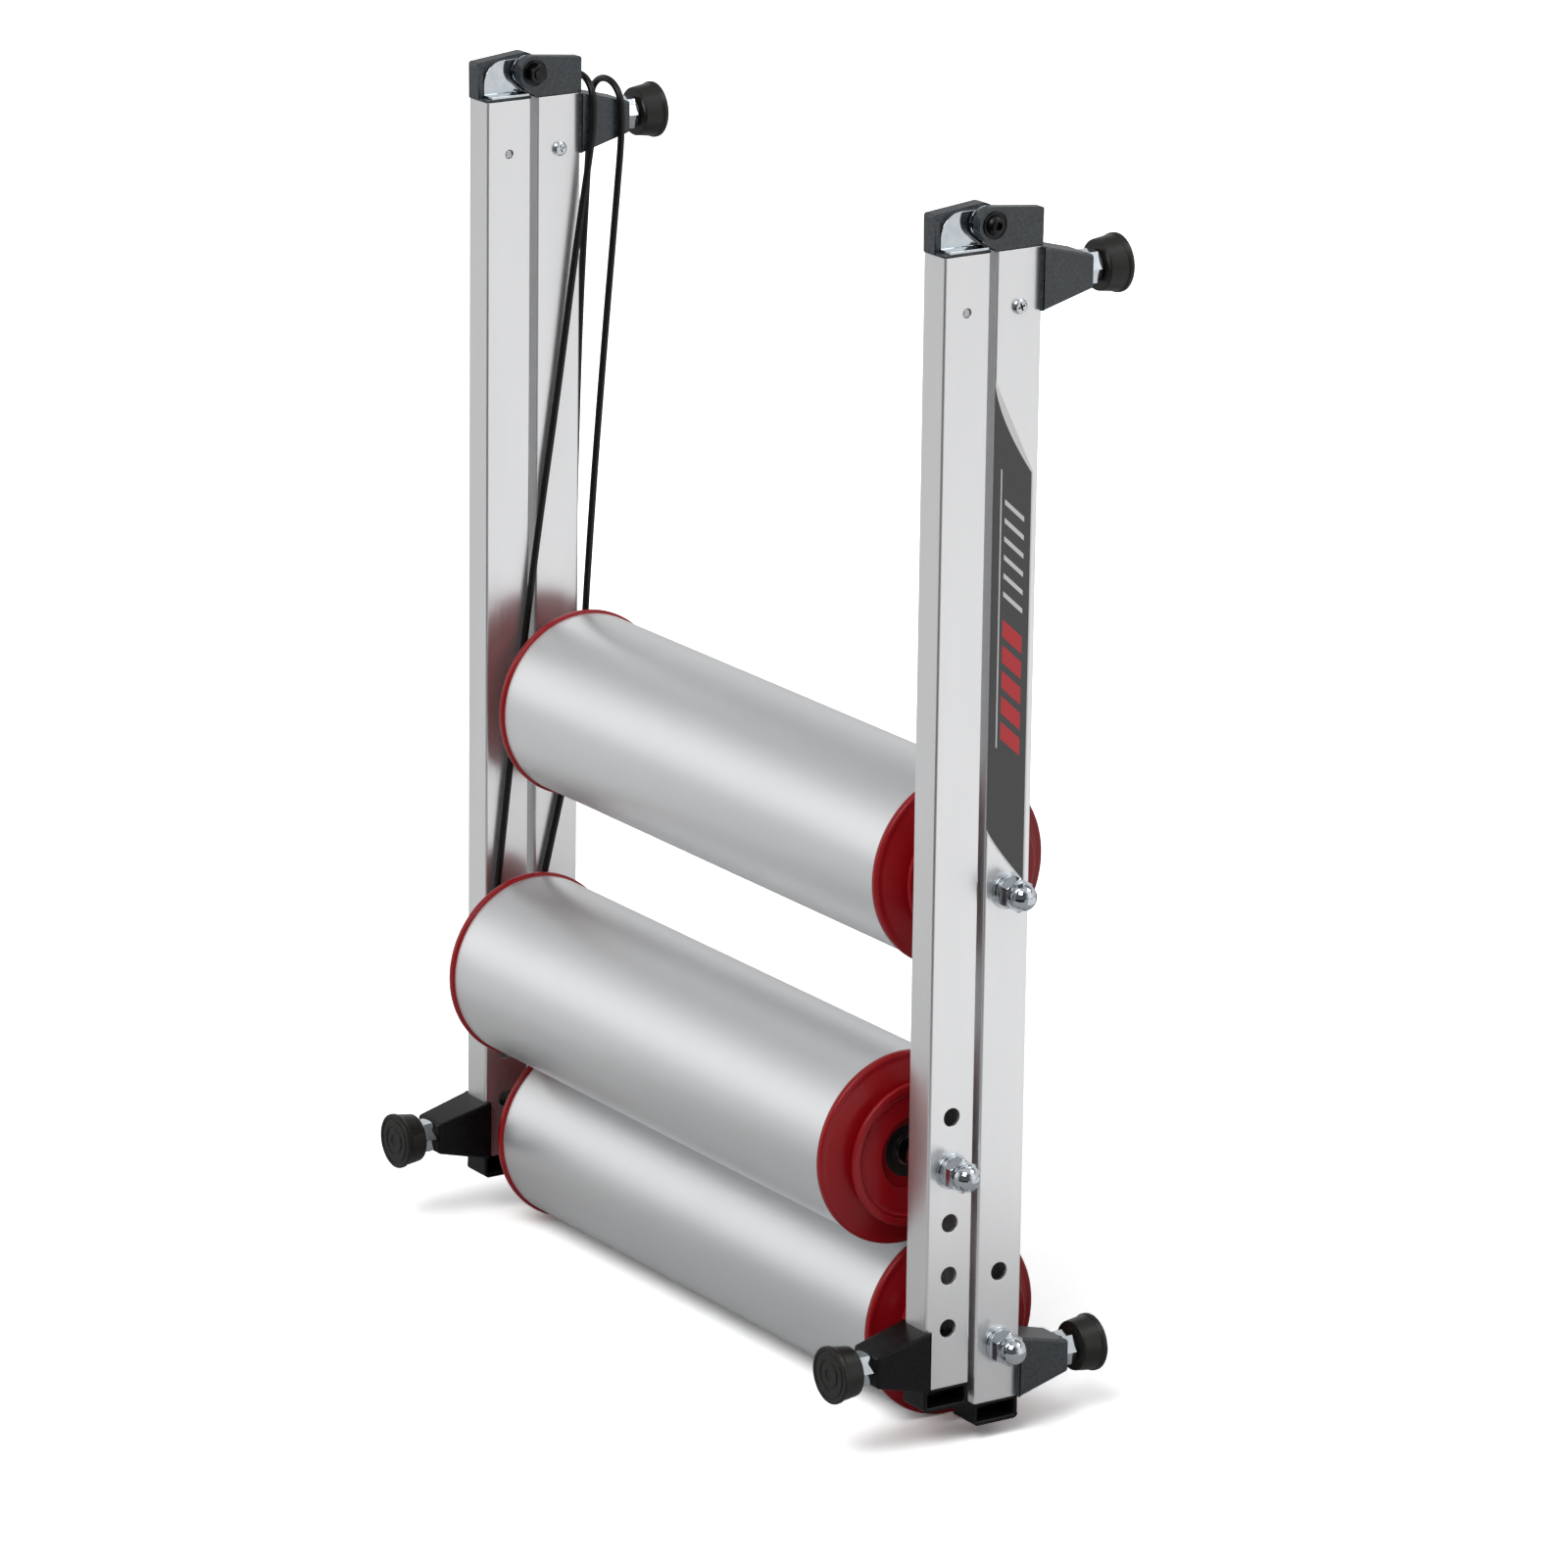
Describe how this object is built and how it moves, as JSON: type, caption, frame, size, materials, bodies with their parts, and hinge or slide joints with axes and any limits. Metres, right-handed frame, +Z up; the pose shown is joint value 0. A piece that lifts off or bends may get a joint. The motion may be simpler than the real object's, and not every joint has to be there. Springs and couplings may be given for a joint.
{
  "type": "folding bike rollers",
  "caption": "Folding bicycle training rollers: free-running drums with red pulley end caps between hinged aluminium rails, on stubby legs with rubber feet.",
  "frame": {"origin": "middle of the footprint, on the floor under the lower roller, with the rollers folded and stood on end", "axes": "+X along the rollers, +Y towards the rear half and its feet, +Z up the rails to the hinges"},
  "size_m": [0.517, 0.1732, 0.6852],
  "materials": {
    "rail_aluminium": "satin anodised extrusion",
    "drum_aluminium": "fine turned satin",
    "red_plastic": "glossy moulded",
    "charcoal_plastic": "fine grained moulding",
    "foot_rubber": "matt moulded",
    "belt_rubber": "smooth round belt",
    "seal_rubber": "smooth black bearing seals",
    "black_steel": "black oxide",
    "bright_steel": "ground",
    "zinc_plate": "bright zinc plate"
  },
  "bodies": {
    "rear_half": {"rear_rail_right": "rail_aluminium", "rear_rail_left": "rail_aluminium", "rear_hinge_block_right": "charcoal_plastic", "rear_hinge_block_left": "charcoal_plastic", "rear_hinge_plates": "zinc_plate", "pivot_bolts": "black_steel", "pivot_nuts": "black_steel", "pivot_washers": "black_steel", "rear_tongue_screws": "zinc_plate", "rear_end_caps": "charcoal_plastic", "rear_top_bracket_right": "charcoal_plastic", "rear_top_bracket_left": "charcoal_plastic", "rear_bottom_bracket_right": "charcoal_plastic", "rear_bottom_bracket_left": "charcoal_plastic", "rear_feet": "foot_rubber", "rear_foot_studs": "zinc_plate", "rear_foot_nuts": "zinc_plate", "upper_axle": "bright_steel", "lower_axle": "bright_steel", "rear_acorn_nuts": "zinc_plate", "rear_axle_washers": "zinc_plate", "rear_spring_washers": "zinc_plate", "rear_axle_nuts": "zinc_plate", "rear_axle_spacers": "black_steel", "rear_bearing_inner_rings": "bright_steel", "drive_belt": "belt_rubber"},
    "front_half": {"front_rail_right": "rail_aluminium", "front_rail_left": "rail_aluminium", "front_hinge_block_right": "charcoal_plastic", "front_hinge_block_left": "charcoal_plastic", "front_hinge_plates": "zinc_plate", "front_tongue_pins": "bright_steel", "front_end_caps": "charcoal_plastic", "front_bracket_right": "charcoal_plastic", "front_bracket_left": "charcoal_plastic", "front_feet": "foot_rubber", "front_foot_studs": "zinc_plate", "front_foot_nuts": "zinc_plate", "front_axle": "bright_steel", "front_acorn_nuts": "zinc_plate", "front_axle_washers": "zinc_plate", "front_spring_washers": "zinc_plate", "front_axle_nuts": "zinc_plate", "front_axle_spacers": "black_steel", "front_bearing_inner_rings": "bright_steel"},
    "upper_roller": {"upper_drum": "drum_aluminium", "upper_cap_right": "red_plastic", "upper_cap_left": "red_plastic", "upper_bearing_outer_rings": "seal_rubber", "upper_bearing_balls": "bright_steel"},
    "lower_roller": {"lower_drum": "drum_aluminium", "lower_cap_right": "red_plastic", "lower_cap_left": "red_plastic", "lower_bearing_outer_rings": "seal_rubber", "lower_bearing_balls": "bright_steel"},
    "front_roller": {"front_drum": "drum_aluminium", "front_cap_right": "red_plastic", "front_cap_left": "red_plastic", "front_bearing_outer_rings": "seal_rubber", "front_bearing_balls": "bright_steel"}
  },
  "joints": [
    {"name": "fold", "type": "hinge", "parent": "rear_half", "child": "front_half", "pos_m": [0, 0, 0.6755], "axis": [-1, 0, 0], "range_deg": [0, 180], "deforming": ["drive_belt"]},
    {"name": "upper_spin", "type": "hinge", "parent": "rear_half", "child": "upper_roller", "pos_m": [0, 0.0165, 0.3115], "axis": [1, 0, 0], "continuous": true},
    {"name": "lower_spin", "type": "hinge", "parent": "rear_half", "child": "lower_roller", "pos_m": [0, 0.0165, 0.0545], "axis": [1, 0, 0], "continuous": true},
    {"name": "front_spin", "type": "hinge", "parent": "front_half", "child": "front_roller", "pos_m": [0, -0.0165, 0.1595], "axis": [1, 0, 0], "continuous": true}
  ],
  "couplings": [
    {"joint": "front_spin", "follows": "upper_spin", "ratio": 1}
  ]
}
